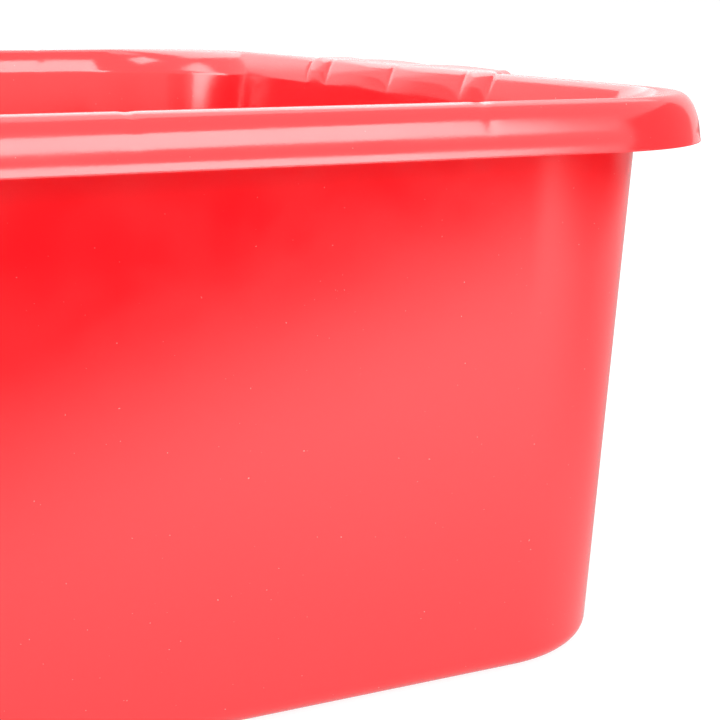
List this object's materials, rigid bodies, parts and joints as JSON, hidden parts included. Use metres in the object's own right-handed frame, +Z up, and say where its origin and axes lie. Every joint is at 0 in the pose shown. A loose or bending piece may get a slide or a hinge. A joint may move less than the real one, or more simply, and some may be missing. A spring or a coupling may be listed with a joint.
{
  "type": "storage tub",
  "caption": "Open moulded plastic tub with drafted walls, an arched turned-down rim and a flared finger grip in each end of the rim.",
  "frame": {"origin": "on the ground below the middle of the tub", "axes": "+X along the tub's length, towards one grip; +Z up, out of the open mouth"},
  "size_m": [0.387, 0.28, 0.11],
  "materials": {
    "tub_plastic": "satin walls, glossier rim"
  },
  "bodies": {
    "root": {"tub": "tub_plastic"}
  },
  "joints": []
}
